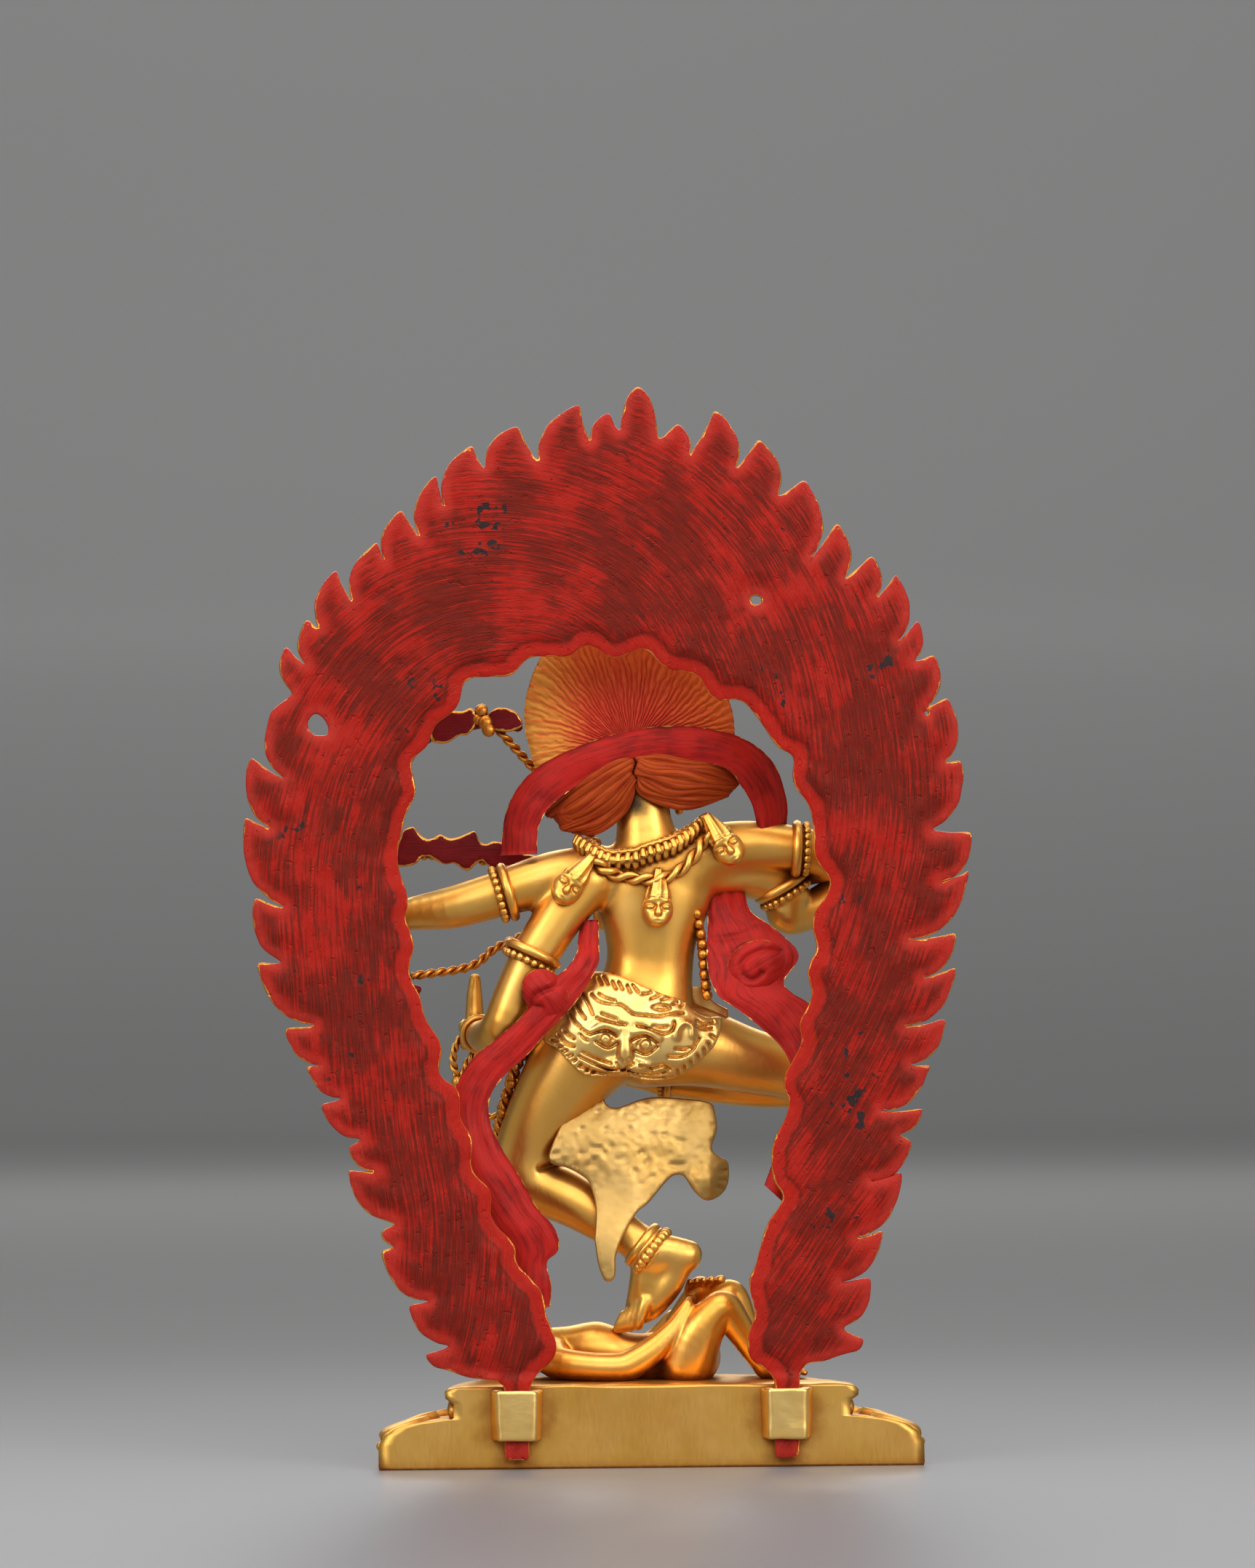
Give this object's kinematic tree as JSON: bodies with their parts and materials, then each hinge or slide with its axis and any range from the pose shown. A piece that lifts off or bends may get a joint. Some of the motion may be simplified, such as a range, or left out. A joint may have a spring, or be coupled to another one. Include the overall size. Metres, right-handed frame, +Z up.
{
  "type": "gilt brass dancing deity statue",
  "caption": "Gilt four-armed dancing goddess on a flat-backed lotus plinth, with a red flame aureole that lifts out of two sockets.",
  "frame": {"origin": "middle of the plinth's underside", "axes": "+Z up; the figure faces -Y and the flat back wall of the plinth and the aureole are at +Y; +X is the figure's left side"},
  "size_m": [0.1345, 0.0458, 0.2],
  "materials": {
    "gilt_brass": "fire gilt, brushed and burnished, orange-brown patina in the recesses",
    "copper_sheet": "plain hammered copper sheet",
    "red_paint": "brushed vermilion paint with darker glaze, worn to gilt at the edges",
    "dark_red_paint": "satin dark red paint with gilt rims",
    "crimson_paint": "satin crimson paint",
    "orange_paint": "satin orange-red paint over chased strands"
  },
  "bodies": {
    "statue": {"plinth": "gilt_brass", "seal_plate": "copper_sheet", "lotus_petals_lower": "gilt_brass", "lotus_petals_upper": "gilt_brass", "figure_rivets": "gilt_brass", "socket_left": "gilt_brass", "socket_right": "gilt_brass", "trampled_figure": "gilt_brass", "standing_leg": "gilt_brass", "raised_leg": "gilt_brass", "torso": "gilt_brass", "head": "gilt_brass", "crown": "gilt_brass", "earrings": "gilt_brass", "flame_hair": "orange_paint", "nape_hair": "orange_paint", "arm_bow": "gilt_brass", "arm_noose": "gilt_brass", "arm_draw": "gilt_brass", "arm_hook": "gilt_brass", "armlets": "gilt_brass", "bracelets": "gilt_brass", "anklets": "gilt_brass", "collar": "gilt_brass", "rope_garland": "gilt_brass", "garland_heads": "gilt_brass", "head_garland": "gilt_brass", "tiger_skin": "gilt_brass", "skin_apron": "gilt_brass", "bone_apron": "gilt_brass", "scarf_arc": "crimson_paint", "scarf_left": "crimson_paint", "scarf_right": "crimson_paint", "bow": "dark_red_paint", "bowstring": "gilt_brass", "arrow": "dark_red_paint", "noose": "gilt_brass", "hook": "gilt_brass"},
    "aureole": {"flame_aureole": "red_paint"}
  },
  "joints": [
    {"name": "aureole_lift", "type": "slide", "parent": "statue", "child": "aureole", "axis": [0, 0, 1], "range_m": [0, 0.015]}
  ]
}
